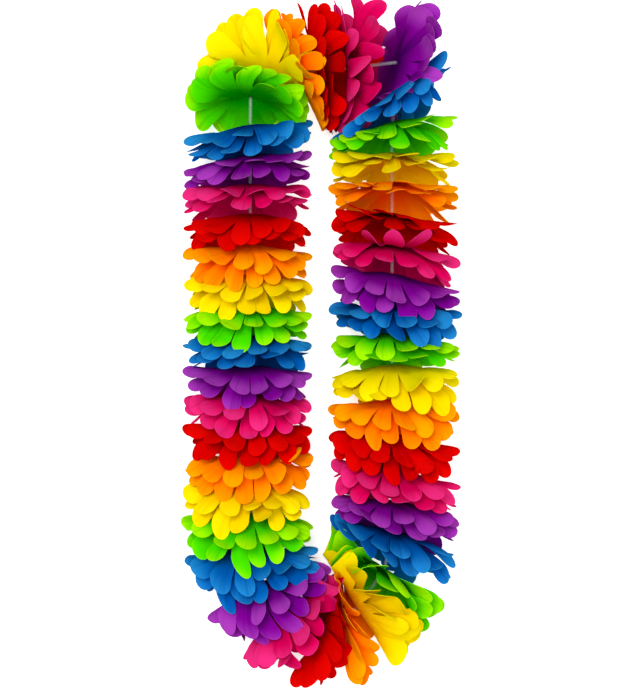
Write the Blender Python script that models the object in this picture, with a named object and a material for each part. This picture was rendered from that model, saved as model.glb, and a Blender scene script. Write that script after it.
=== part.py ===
"""A party lei: forty-two cloth blooms in seven colours, threaded in rainbow order on one closed
string with a straw spacer between every two of them. It lies on its back as a long loop, and the
bells of the blooms hang towards the foot of the loop on both of its sides.

Lengths are in metres and angles in radians, unless a name ends in DEG. The loop lies level, with its
length along Y. Each layer of a bloom is worked out on the flat cloth, as a distance from the string
and an angle round it, and is then bent and set on the loop."""

import math
import random

import bmesh
import bpy
import numpy as np

# The loop of string, seen from above
HALF_SPAN = 0.0502
SIDE_RUN = 0.2995
TOP_RISE = 0.030
BOTTOM_DROP = 0.064
STRING_HEIGHT = 0.036
FIRST_BLOOM_LEAD = 0.0035

# The blooms, numbered anticlockwise from the top of the left side
BLOOMS = 42
PETALS = 14
PETAL_LENGTH = 0.050
SHOULDER = 0.040
SHOULDER_HALF_WIDTH = 0.0074
SLIT_FOOT = 0.022
CLOTH = 0.0008
HOLE_RADIUS = 0.0012
HUB_RADIUS = 0.0040
HUB_HALF_HEIGHT = 0.0013
HUB_SIDES = 7
LAYER_OFFSET = 0.0009

# How far the tips of the upper and the lower layer hang, at the sides, in front and at the back
SIDE_HANG = (0.010, 0.021)
FRONT_HANG = (0.022, 0.034)
BACK_HANG = (0.024, 0.032)
LIFTED_HANG = (0.014, 0.018)
OPEN_HANG = {42: (-0.014, -0.006), 1: (-0.008, 0.001), 38: (0.003, 0.010)}
PROPPED = 0.008
HANG_POWER = 1.4
ROUND_POWER = 1.5
SHOULDER_SAG = 0.0012
LOWER_DROP = 0.012
LEAST_GAP_SHARE = 0.4
STEEPEST = 0.95
REACH_ROUNDS = 3

# How blooms differ by chance: turned on the string, in share of a petal, and each petal's length and tip
MOST_TURN = 0.45
SHORTEST = 0.965
FLUTTER = 0.0014

# Where the bells turn over: back to back near the top, mouth to mouth near the foot
TOP_PARTING = -0.35
TOP_SPREAD = 0.8
FOOT_MEETING = 21.8
FOOT_SPREAD = 1.9
COMB = math.radians(30)
WIDE_SPACING_POWER = 0.35

# How a bloom departs from square to the string, and how far its front is lifted, by its number
LEAN_DEG = {
    1: 11, 2: 12, 3: 7, 6: -2, 8: -2, 11: -6, 12: -4, 13: 2, 14: -3, 15: -6, 16: -11, 17: -15, 18: -19,
    19: -20, 20: -16, 21: -10, 22: -10, 23: -11, 24: -7, 25: -11, 26: -6, 27: 2, 28: 3, 29: -6, 31: -12,
    32: -6, 33: -9, 35: -2, 36: 10, 37: 13, 38: 8, 39: 5, 40: 9, 41: 14, 42: 14,
}
LIFT = {
    1: 1.0, 2: 0.4, 3: 0.7, 4: 1.0, 9: 0.7, 25: 0.4, 28: 0.4, 29: 0.4, 30: 0.4, 32: 1.0, 33: 0.4,
    34: 1.0, 35: 0.7, 36: 1.0, 37: 1.0, 38: 0.4, 39: 0.7,
}

# Room for the petals that point to the floor or into a bend of the loop. The first petal of the lower
# layer points most nearly to the floor, and the bloom rests on its tip.
GROUNDED_PETAL = 0
FLOOR_REACH = STRING_HEIGHT + 0.0015
INNER_SHARE = 0.75
INNER_TRIM = 0.92
HEEL = 0.043
HEEL_HALF_WIDTH = 0.0058
TOE_HALF_WIDTH = 0.0040
FOOT_THICKNESS = 0.0010

# The string, and the straw on it between two blooms
STRING_RADIUS = 0.0005
STRAW_RADIUS = 0.0015
STRAW_SETBACK = 0.0026
STRING_SIDES = 5

# How the loop is sampled
ARC_POINTS = 400
STEPS = 24
FACING_SPREAD = 2.5
LEAN_SPREAD = 0.75
PROBE = 1e-4
SMALL = 1e-6

UPPER, LOWER = 0, 1
PETAL_STEP = 2 * math.pi / PETALS

COLOURS = (
    ("green", (0.42, 0.86, 0.02)),
    ("blue", (0.02, 0.39, 0.78)),
    ("purple", (0.50, 0.06, 0.58)),
    ("pink", (0.90, 0.02, 0.42)),
    ("red", (0.88, 0.01, 0.01)),
    ("orange", (1.00, 0.52, 0.01)),
    ("yellow", (1.00, 0.88, 0.02)),
)
STRAW_COLOUR = (0.90, 0.92, 0.90)
CLOTH_ROUGHNESS = 0.6
STRAW_ROUGHNESS = 0.35


def clear_scene():
    for thing in list(bpy.data.objects):
        bpy.data.objects.remove(thing)


def linear(colour):
    """A screen colour as the linear light that a material takes."""
    return tuple(c / 12.92 if c < 0.04045 else ((c + 0.055) / 1.055) ** 2.4 for c in colour)


def material(name, colour, roughness):
    finish = bpy.data.materials.new(name)
    finish.use_nodes = True
    shader = finish.node_tree.nodes["Principled BSDF"]
    shader.inputs["Base Color"].default_value = (*linear(colour), 1.0)
    shader.inputs["Roughness"].default_value = roughness
    shader.inputs["Metallic"].default_value = 0.0
    finish.diffuse_color = (*linear(colour), 1.0)
    return finish


def smoothed(values, spread):
    """A closed run of samples, averaged over this many blooms to either side."""
    reach = round(spread * STEPS)
    weights = np.hanning(2 * reach + 3)[1:-1]
    wrapped = np.concatenate([values[-reach:], values, values[:reach]])
    return np.convolve(wrapped, weights / weights.sum(), mode="valid")


class Loop:
    """The string's route, and which way a bloom faces at each place on it.

    A place is a number of blooms along the string: bloom 1 is at 1, and 42 is also 0."""

    def __init__(self):
        half_run = SIDE_RUN / 2
        turn = np.linspace(0, math.pi, ARC_POINTS)
        foot = np.stack([-HALF_SPAN * np.cos(turn), -half_run - BOTTOM_DROP * np.sin(turn)], axis=1)
        top = np.stack([HALF_SPAN * np.cos(turn), half_run + TOP_RISE * np.sin(turn)], axis=1)
        outline = np.concatenate([top[-1:], foot, top])
        lengths = np.concatenate([[0], np.cumsum(np.hypot(*np.diff(outline, axis=0).T))])
        self.pitch = lengths[-1] / BLOOMS
        self.places = np.arange(BLOOMS * STEPS) / STEPS
        along = ((self.places - 1) * self.pitch - FIRST_BLOOM_LEAD) % lengths[-1]
        self.x = np.interp(along, lengths, outline[:, 0])
        self.y = np.interp(along, lengths, outline[:, 1])
        across = np.roll(self.x, -1) - np.roll(self.x, 1)
        ahead = np.roll(self.y, -1) - np.roll(self.y, 1)
        square = np.unwrap(np.arctan2(-across, ahead)) - self.one_turn(self.places)
        numbers = np.arange(BLOOMS + 1)
        leans = np.radians([LEAN_DEG.get(number or BLOOMS, 0) for number in numbers])
        lean = np.interp(self.places, numbers, leans)
        self.swerve = smoothed(square, FACING_SPREAD) + smoothed(lean, LEAN_SPREAD)
        self.turning = np.gradient(self.swerve) * STEPS + self.one_turn(1)

    @staticmethod
    def one_turn(place):
        return 2 * math.pi * place / BLOOMS

    def read(self, samples, place):
        return np.interp(place % BLOOMS, self.places, samples, period=BLOOMS)

    def facing(self, place):
        """The angle, seen from above, of the side of a bloom that points out of the loop."""
        return self.read(self.swerve, place) + self.one_turn(place)

    def spacing(self, place, outwards):
        """How far apart the blooms stand this far out of the loop, as a share of that at the string."""
        return 1 + outwards * self.read(self.turning, place) / self.pitch

    def room(self, place, inwards):
        """How far a petal may reach before the blooms on either side crowd it out."""
        turning = self.read(self.turning, place) * (1 if inwards else -1)
        return INNER_SHARE * self.pitch / turning if turning > SMALL else math.inf

    def point(self, place, outwards, upwards):
        """A point beside the string, this far out of the loop and this far above the string."""
        angle = self.facing(place)
        return np.array(
            [
                self.read(self.x, place) + outwards * math.cos(angle),
                self.read(self.y, place) + outwards * math.sin(angle),
                STRING_HEIGHT + upwards,
            ]
        )


def bell_swing(number):
    """1 where a bell hangs on towards the next bloom, -1 where it hangs back, less where it turns over."""
    quarter = BLOOMS // 4
    from_top = (number + quarter) % BLOOMS - quarter
    leaving_top = math.tanh((from_top - TOP_PARTING) / TOP_SPREAD)
    nearing_foot = math.tanh((FOOT_MEETING - from_top) / FOOT_SPREAD)
    return min(leaving_top, nearing_foot)


def mixed(low, high, share):
    return low + (high - low) * share


class Bloom:
    """Two layers of petals cut from round cloth, joined at the hub that the string runs through.

    A spot on a layer is a distance from the string along the cloth, and an angle round it: 0 points
    out of the loop, a quarter turn up, and three quarters down to the floor."""

    def __init__(self, loop, number):
        self.loop = loop
        self.number = number
        self.swing = bell_swing(number)
        self.side = math.copysign(1, self.swing)
        self.comb = COMB * max(0.0, -math.sin(loop.facing(number)))
        self.lift = LIFT.get(number, 0)
        self.propped = PROPPED * LIFT.get(round(number + self.side - 1) % BLOOMS + 1, 0)
        chance = random.Random(number)
        self.turn = chance.uniform(-MOST_TURN, MOST_TURN) * PETAL_STEP
        self.stretch = [[chance.uniform(SHORTEST, 1.0) for _ in range(PETALS)] for _ in range(2)]
        self.flutter = [[chance.uniform(-FLUTTER, FLUTTER) for _ in range(PETALS)] for _ in range(2)]

    def front_hang(self, layer):
        """How far the foremost tip of a layer hangs."""
        if self.number in OPEN_HANG:
            return OPEN_HANG[self.number][layer]
        propped = self.propped if layer == LOWER else 0
        return self.swung(mixed(FRONT_HANG[layer], LIFTED_HANG[layer], self.lift) - propped, layer)

    def swung(self, hang, layer):
        """A hang, less where the bells turn over, with some room always left between the layers."""
        least = LEAST_GAP_SHARE * (LOWER_DROP if layer == LOWER else 0)
        return max(hang * abs(self.swing), least)

    def hang(self, angle, layer):
        """How far a tip hangs at this angle, towards the bell's mouth."""
        front = max(0.0, math.sin(angle)) ** ROUND_POWER
        back = max(0.0, -math.sin(angle)) ** ROUND_POWER
        tip = mixed(self.swung(SIDE_HANG[layer], layer), self.front_hang(layer), front)
        return self.side * mixed(tip, self.swung(BACK_HANG[layer], layer), back)

    def bent(self, layer, distance, angle, sag=0.0):
        """A spot's hang, its distance from the string once bent, and the angle that it is combed to."""
        share = distance / PETAL_LENGTH
        hang = self.hang(angle, layer) * share**HANG_POWER + self.side * sag
        combed = angle - self.comb * max(0.0, math.sin(angle)) * share
        reach = distance
        for _ in range(REACH_ROUNDS):
            spacing = self.loop.spacing(self.number, reach * math.cos(combed))
            easing = max(1.0, spacing) ** -WIDE_SPACING_POWER
            real_hang = min(abs(hang) * spacing * easing, STEEPEST * distance)
            reach = math.sqrt(distance**2 - real_hang**2)
        return hang * easing, reach, combed

    def spot(self, layer, distance, angle, sag=0.0):
        """Where a spot of the layer's middle lies."""
        hang, reach, combed = self.bent(layer, distance, angle, sag)
        hang += self.side * (LAYER_OFFSET if layer == LOWER else -LAYER_OFFSET)
        place = self.number + hang / self.loop.pitch
        return self.loop.point(place, reach * math.cos(combed), reach * math.sin(combed))

    def outward(self, layer, distance, angle):
        """The way that the layer's outer face points, away from the bell's mouth."""
        here = self.spot(layer, distance, angle)
        along = self.spot(layer, distance + PROBE, angle) - here
        around = self.spot(layer, distance, angle + PROBE / distance) - here
        normal = np.cross(along, around)
        up_string = self.loop.point(self.number - self.side * PROBE, 0, 0)
        up_string -= self.loop.point(self.number, 0, 0)
        return normal / np.linalg.norm(normal) * math.copysign(1, normal @ up_string)

    def faces_at(self, layer, distance, angle, sag=0.0):
        """The two points where the cloth's outer and inner faces pass a spot."""
        middle = self.spot(layer, distance, angle, sag)
        half = self.outward(layer, distance, angle) * CLOTH / 2
        return middle + half, middle - half

    def petal_angle(self, layer, petal):
        half_step = PETAL_STEP / 2 if layer == UPPER else 0
        return -math.pi / 2 + self.turn + half_step + petal * PETAL_STEP

    def length(self, layer, petal):
        """A petal is cut shorter where the floor or a bend of the loop leaves it less room."""
        hang, reach, angle = self.bent(layer, PETAL_LENGTH, self.petal_angle(layer, petal))
        place = self.number + hang / self.loop.pitch
        down = FLOOR_REACH / max(SMALL, -math.sin(angle))
        inwards = math.cos(angle) < 0
        beside = self.loop.room(place, inwards) / max(SMALL, abs(math.cos(angle)))
        trim = INNER_TRIM if inwards else 1.0
        share = min(trim, down / reach, beside / reach)
        return PETAL_LENGTH * share * self.stretch[layer][petal]

    def mesh(self):
        builder = bmesh.new()
        hub = self.hub_rings(builder)
        for layer in (UPPER, LOWER):
            slits = self.slit_feet(builder, layer)
            outer_ring, inner_ring = (hub[0], hub[1]) if layer == UPPER else (hub[1], hub[2])
            for side, ring in enumerate((outer_ring, inner_ring)):
                collar(builder, ring, [pair[side] for pair in slits])
            for petal in range(PETALS):
                ends = slits[petal], slits[(petal + 1) % PETALS]
                if layer == LOWER and petal == GROUNDED_PETAL:
                    self.grounded(builder, petal, ends)
                else:
                    self.petal(builder, layer, petal, ends)
        band(builder, hub[0], hub[2])
        for corner in builder.verts:
            corner.co.z = max(corner.co.z, 0.0)
        bmesh.ops.triangulate(builder, faces=builder.faces)
        bmesh.ops.recalc_face_normals(builder, faces=builder.faces)
        return builder

    def hub_rings(self, builder):
        """Rings of corners: the hole's two ends, and the crease between the two layers."""
        rings = []
        sizes = (HOLE_RADIUS, -HUB_HALF_HEIGHT), (HUB_RADIUS, 0), (HOLE_RADIUS, HUB_HALF_HEIGHT)
        for radius, height in sizes:
            ring = []
            for corner in range(HUB_SIDES):
                angle = self.petal_angle(LOWER, 0) - PETAL_STEP / 2 + corner * 2 * math.pi / HUB_SIDES
                place = self.number + self.side * height / self.loop.pitch
                spot = self.loop.point(place, radius * math.cos(angle), radius * math.sin(angle))
                ring.append(builder.verts.new(spot))
            rings.append(ring)
        return rings

    def slit_feet(self, builder, layer):
        """Pairs of corners, outer and inner, where each slit between two petals ends."""
        feet = []
        for petal in range(PETALS):
            angle = self.petal_angle(layer, petal) - PETAL_STEP / 2
            feet.append([builder.verts.new(point) for point in self.faces_at(layer, SLIT_FOOT, angle)])
        return feet

    def petal(self, builder, layer, petal, ends):
        """A five-sided petal: full thickness along its middle, thin at its two shoulders."""
        angle = self.petal_angle(layer, petal)
        length = self.length(layer, petal)
        shoulder = SHOULDER * length / PETAL_LENGTH
        wide = SHOULDER_HALF_WIDTH / shoulder
        flutter = self.flutter[layer][petal]
        shoulders = [
            builder.verts.new(self.spot(layer, shoulder, angle + way * wide, SHOULDER_SAG + flutter))
            for way in (-1, 1)
        ]
        tip = [builder.verts.new(point) for point in self.faces_at(layer, length, angle, flutter)]
        for side in (0, 1):
            first, last = ends[0][side], ends[1][side]
            builder.faces.new((first, shoulders[0], tip[side]))
            builder.faces.new((first, tip[side], last))
            builder.faces.new((last, tip[side], shoulders[1]))
        for end, shoulder_corner in zip(ends, shoulders):
            builder.faces.new((end[0], end[1], shoulder_corner))
            builder.faces.new((tip[0], tip[1], shoulder_corner))

    def grounded(self, builder, petal, ends):
        """The petal that the bloom rests on: its tip lies flat on the floor."""
        angle = self.petal_angle(LOWER, petal)
        rows = []
        for distance, half_width in ((HEEL, HEEL_HALF_WIDTH), (PETAL_LENGTH, TOE_HALF_WIDTH)):
            for way in (-1, 1):
                spot = self.spot(LOWER, distance, angle + way * half_width / distance)
                rows.append([builder.verts.new((spot[0], spot[1], z)) for z in (0.0, FOOT_THICKNESS)])
        heel, toe = rows[:2], rows[2:]
        outline = [ends[0], heel[0], toe[0], toe[1], heel[1], ends[1]]
        for side in (0, 1):
            builder.faces.new((ends[0][side], heel[0][side], heel[1][side]))
            builder.faces.new((ends[0][side], heel[1][side], ends[1][side]))
            builder.faces.new((heel[0][side], toe[0][side], toe[1][side], heel[1][side]))
        for before, after in zip(outline, outline[1:]):
            builder.faces.new((before[0], before[1], after[1], after[0]))


def collar(builder, ring, slits):
    """Joins a ring at the hub to the slits' feet, of which there are twice as many."""
    for index, corner in enumerate(ring):
        following = ring[(index + 1) % len(ring)]
        near, middle, far = (slits[(2 * index + step) % len(slits)] for step in range(3))
        builder.faces.new((corner, near, middle))
        builder.faces.new((corner, middle, following))
        builder.faces.new((following, middle, far))


def band(builder, first, second):
    """Joins two rings that have as many corners."""
    for index in range(len(first)):
        after = (index + 1) % len(first)
        builder.faces.new((first[index], first[after], second[after], second[index]))


def string_mesh(loop):
    """The string, swelling into a straw between every two blooms, as one closed ring."""
    setback = STRAW_SETBACK / loop.pitch
    rings = []
    builder = bmesh.new()
    for number in range(1, BLOOMS + 1):
        start = loop.point(number + setback, 0, 0)
        end = loop.point(number + 1 - setback, 0, 0)
        heading = math.atan2(end[1] - start[1], end[0] - start[0])
        for centre, radius in (
            (start, STRING_RADIUS),
            (start, STRAW_RADIUS),
            (end, STRAW_RADIUS),
            (end, STRING_RADIUS),
        ):
            ring = []
            for corner in range(STRING_SIDES):
                angle = 2 * math.pi * corner / STRING_SIDES
                side = radius * math.cos(angle)
                offset = (side * math.sin(heading), -side * math.cos(heading), radius * math.sin(angle))
                ring.append(builder.verts.new(centre + offset))
            rings.append(ring)
    for index, ring in enumerate(rings):
        band(builder, ring, rings[(index + 1) % len(rings)])
    bmesh.ops.recalc_face_normals(builder, faces=builder.faces)
    return builder


def add_object(name, builder, finish, middle):
    mesh = bpy.data.meshes.new(name)
    builder.to_mesh(mesh)
    builder.free()
    mesh.materials.append(finish)
    thing = bpy.data.objects.new(name, mesh)
    thing.location = (-middle[0], -middle[1], 0)
    bpy.context.collection.objects.link(thing)


def main():
    clear_scene()
    loop = Loop()
    meshes = {f"bloom_{number:02d}": Bloom(loop, number).mesh() for number in range(1, BLOOMS + 1)}
    corners = np.array([corner.co for mesh in meshes.values() for corner in mesh.verts])
    middle = (corners.min(axis=0) + corners.max(axis=0)) / 2
    cloths = [material(f"petal_{name}", colour, CLOTH_ROUGHNESS) for name, colour in COLOURS]
    for index, (name, mesh) in enumerate(meshes.items()):
        add_object(name, mesh, cloths[index % len(cloths)], middle)
    straw = material("straw", STRAW_COLOUR, STRAW_ROUGHNESS)
    add_object("string_with_straws", string_mesh(loop), straw, middle)


main()
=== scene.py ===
"""The looks of a party lei: forty-two cloth blooms on one closed string, with a clear straw between
every two of them.

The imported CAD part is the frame. Every bloom is cut as flat cloth by Geometry Nodes, in two layers of
fourteen petals, and is then bent and set on the string by the same rules as the part's own solids. It
hangs in a way of its own and stands where the photograph has it, up to 19 mm from its solid. Lengths are
in metres and angles in radians, unless a name ends in _deg or _mm."""

import logging
import math
import random
from dataclasses import dataclass, field
from enum import Enum

import bmesh
import bpy
import numpy as np
from bpy.types import Material, Mesh, Node, NodeSocket, NodeTree, Object
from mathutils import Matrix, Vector


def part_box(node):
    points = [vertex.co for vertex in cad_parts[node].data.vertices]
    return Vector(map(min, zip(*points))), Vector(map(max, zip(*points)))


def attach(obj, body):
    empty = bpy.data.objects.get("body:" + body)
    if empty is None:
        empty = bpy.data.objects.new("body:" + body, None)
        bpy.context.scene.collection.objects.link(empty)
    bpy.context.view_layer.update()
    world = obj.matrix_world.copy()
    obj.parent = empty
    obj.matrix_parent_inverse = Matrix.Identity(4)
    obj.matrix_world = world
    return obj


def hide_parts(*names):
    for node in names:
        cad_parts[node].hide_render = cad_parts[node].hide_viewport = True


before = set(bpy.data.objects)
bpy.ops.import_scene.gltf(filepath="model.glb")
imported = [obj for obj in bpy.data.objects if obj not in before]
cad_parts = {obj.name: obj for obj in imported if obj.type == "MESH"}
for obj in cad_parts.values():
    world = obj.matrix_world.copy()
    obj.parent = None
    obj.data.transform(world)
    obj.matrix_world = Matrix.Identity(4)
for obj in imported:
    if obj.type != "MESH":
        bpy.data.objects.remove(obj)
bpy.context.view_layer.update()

BLOOMS = 42
PETALS = 14
PETAL_STEP = 2 * math.pi / PETALS
PETAL_LENGTH = 0.050
SLIT_FOOT = 0.022
HALF_WIDTH = 0.0077
ROUND_POWER = 1.5
MM = 0.001
TINY = 1e-6
SOCKET_KINDS = {float: "Float", int: "Int", tuple: "Color"}

log = logging.getLogger("lei")


class Layer(Enum):
    """The two layers of a bloom. The upper one is the nearer to the top of the loop."""

    UPPER = 0
    LOWER = 1


@dataclass(frozen=True)
class ClothFinish:
    """A satin cloth: its dyed colour over the petals, its colour at the heart of a bloom, dye deepened with
    painted shade, and at their tips, dye lightened with painted highlight, and how much of its relief is
    weave."""

    slot: str
    # heart is partly dye and partly painted shade; tip is partly dye and partly painted highlight.
    heart: tuple[float, float, float]
    middle: tuple[float, float, float]
    tip: tuple[float, float, float]
    roughness: float = 0.62
    gloss: float = 0.0
    weave_share: float = 0.06
    relief_strength: float = 0.35
    relief_depth: float = 0.0012


class Dye(Enum):
    """The seven cloths in the order in which they follow each other on the string."""

    # Each heart colour is partly painted shade, and each tip colour partly painted highlight.
    GREEN = ClothFinish("petal_green", (0.00, 0.58, 0.00), (0.26, 0.81, 0.00), (0.60, 0.91, 0.01))
    BLUE = ClothFinish("petal_blue", (0.00, 0.12, 0.42), (0.00, 0.34, 0.66), (0.12, 0.50, 0.77))
    PURPLE = ClothFinish("petal_purple", (0.26, 0.00, 0.37), (0.48, 0.01, 0.55), (0.62, 0.21, 0.67))
    PINK = ClothFinish("petal_pink", (0.62, 0.00, 0.23), (0.82, 0.00, 0.33), (0.87, 0.16, 0.46))
    RED = ClothFinish("petal_red", (0.60, 0.00, 0.00), (0.79, 0.00, 0.00), (0.82, 0.02, 0.01))
    ORANGE = ClothFinish("petal_orange", (0.96, 0.28, 0.00), (0.97, 0.50, 0.00), (0.97, 0.61, 0.00))
    YELLOW = ClothFinish("petal_yellow", (0.86, 0.66, 0.00), (0.92, 0.81, 0.00), (0.94, 0.85, 0.02))


@dataclass(frozen=True)
class StrawFinish:
    """The milky plastic of the straws and of the string in them."""

    slot: str = "straw"
    colour: tuple[float, float, float] = (0.95, 0.97, 0.97)
    roughness: float = 0.25
    cover: float = 0.05
    clouds_per_metre: float = 160.0
    cloud_shade: float = 0.9
    cloud_dulling: float = 0.12


def linear(colour: tuple[float, float, float]) -> tuple[float, float, float, float]:
    """Turns a screen colour into the linear light that a shader takes.

    Args:
        colour: Red, green and blue as shown on a screen, from 0 to 1.

    Returns:
        The same colour as linear light, with full alpha.
    """
    light = [c / 12.92 if c < 0.04045 else ((c + 0.055) / 1.055) ** 2.4 for c in colour]
    return (light[0], light[1], light[2], 1.0)


class Wiring:
    """Adds nodes to one tree, of shaders or of geometry, and links them."""

    def __init__(self, tree: NodeTree) -> None:
        """Starts on a tree.

        Args:
            tree: The tree that the nodes are added to.
        """
        self.tree = tree
        self.count = 0

    def node(self, kind: str, inputs: dict | None = None, **settings: object) -> Node:
        """Adds a node.

        Args:
            kind: Blender's name for the node's type.
            inputs: What each input gets, by its name or number: a socket to link, or a value.
            settings: The node's own settings, such as its operation.

        Returns:
            The new node.
        """
        made = self.tree.nodes.new(kind)
        made.location = (180 * (self.count // 6), -170 * (self.count % 6))
        self.count += 1
        for name, value in settings.items():
            setattr(made, name, value)
        for name, value in (inputs or {}).items():
            self.feed(made.inputs[name], value)
        return made

    def feed(self, socket: NodeSocket, value: object) -> None:
        """Links a socket into an input, or sets the input's value.

        Args:
            socket: The input.
            value: A socket of another node, or the value itself.
        """
        if isinstance(value, NodeSocket):
            self.tree.links.new(value, socket)
        else:
            socket.default_value = value

    def math(self, operation: str, *values: object) -> NodeSocket:
        """Adds a Math node.

        Args:
            operation: Blender's name for the sum, such as ADD.
            values: What it works on, sockets or numbers.

        Returns:
            The socket with the result.
        """
        return self.node("ShaderNodeMath", dict(enumerate(values)), operation=operation).outputs[0]

    def vectors(self, operation: str, inputs: dict) -> Node:
        """Adds a Vector Math node."""
        return self.node("ShaderNodeVectorMath", inputs, operation=operation)

    def span(self, value: object, low: float, high: float, smooth: bool = True) -> NodeSocket:
        """Turns a value into a share: 0 at low, 1 at high, and held between them.

        Args:
            value: The value, a socket.
            low: Where the share is 0.
            high: Where the share is 1.
            smooth: Whether it eases in and out.

        Returns:
            The socket with the share.
        """
        given = {"Value": value, "From Min": low, "From Max": high}
        style = "SMOOTHSTEP" if smooth else "LINEAR"
        return self.node("ShaderNodeMapRange", given, interpolation_type=style).outputs["Result"]

    def blend(self, share: object, first: object, second: object) -> NodeSocket:
        """Mixes two colours.

        Args:
            share: How much of the second there is.
            first: The first colour, a socket or a value.
            second: The second colour, a socket or a value.

        Returns:
            The socket with the mixed colour.
        """
        made = self.node("ShaderNodeMix", {"Factor": share}, data_type="RGBA")
        colours = [socket for socket in made.inputs if socket.type == "RGBA"]
        self.feed(colours[0], first)
        self.feed(colours[1], second)
        return next(socket for socket in made.outputs if socket.type == "RGBA")


def group_with(name: str, kind: str, inputs: dict[str, object], outputs: dict[str, str]) -> NodeTree:
    """Makes an empty node group with named sockets.

    Args:
        name: The group's name.
        kind: Shader or Geometry.
        inputs: Each input's default value by name, or the kind of its socket where it has none.
        outputs: The kind of each output's socket, by name.

    Returns:
        The group.
    """
    tree = bpy.data.node_groups.new(name, f"{kind}NodeTree")
    for label, given in inputs.items():
        socket_kind = given if isinstance(given, str) else SOCKET_KINDS[type(given)]
        socket = tree.interface.new_socket(label, in_out="INPUT", socket_type=f"NodeSocket{socket_kind}")
        if not isinstance(given, str):
            socket.default_value = given
    for label, socket_kind in outputs.items():
        tree.interface.new_socket(label, in_out="OUTPUT", socket_type=f"NodeSocket{socket_kind}")
    return tree


def placed(name: str, data: bpy.types.ID) -> Object:
    """Puts a mesh, curve, lamp or camera into the scene.

    Args:
        name: The object's name.
        data: What it shows.

    Returns:
        The object.
    """
    thing = bpy.data.objects.new(name, data)
    bpy.context.scene.collection.objects.link(thing)
    return thing


def made_plain(thing: Object) -> Mesh:
    """Turns an object with its modifiers into a plain mesh.

    Args:
        thing: The object, which is removed.

    Returns:
        The mesh.
    """
    mesh = bpy.data.meshes.new_from_object(thing.evaluated_get(bpy.context.evaluated_depsgraph_get()))
    bpy.data.objects.remove(thing)
    return mesh


def apply_tree(tree: NodeTree, carrier: Object, values: dict[str, object]) -> Mesh:
    """Runs a geometry tree on an object and returns what it makes as a plain mesh.

    Args:
        tree: The geometry tree.
        carrier: The object that it runs on, which is removed again.
        values: The tree's inputs, by name.

    Returns:
        The mesh.
    """
    modifier = carrier.modifiers.new("shape", "NODES")
    modifier.node_group = tree
    for item in tree.interface.items_tree:
        if item.item_type == "SOCKET" and item.in_out == "INPUT" and item.name in values:
            modifier[item.identifier] = values[item.name]
    return made_plain(carrier)


def read_vectors(mesh: Mesh) -> np.ndarray:
    """Reads the places of a mesh's vertices.

    Args:
        mesh: The mesh.

    Returns:
        One row of x, y and z for each vertex.
    """
    values = np.empty(len(mesh.vertices) * 3)
    mesh.vertices.foreach_get("co", values)
    return values.reshape(-1, 3)


def read_attribute(mesh: Mesh, name: str) -> np.ndarray:
    """Reads a number that the geometry tree stored on each vertex.

    Args:
        mesh: The mesh.
        name: The attribute's name.

    Returns:
        One number for each vertex.
    """
    values = np.empty(len(mesh.vertices))
    mesh.attributes[name].data.foreach_get("value", values)
    return values


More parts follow.
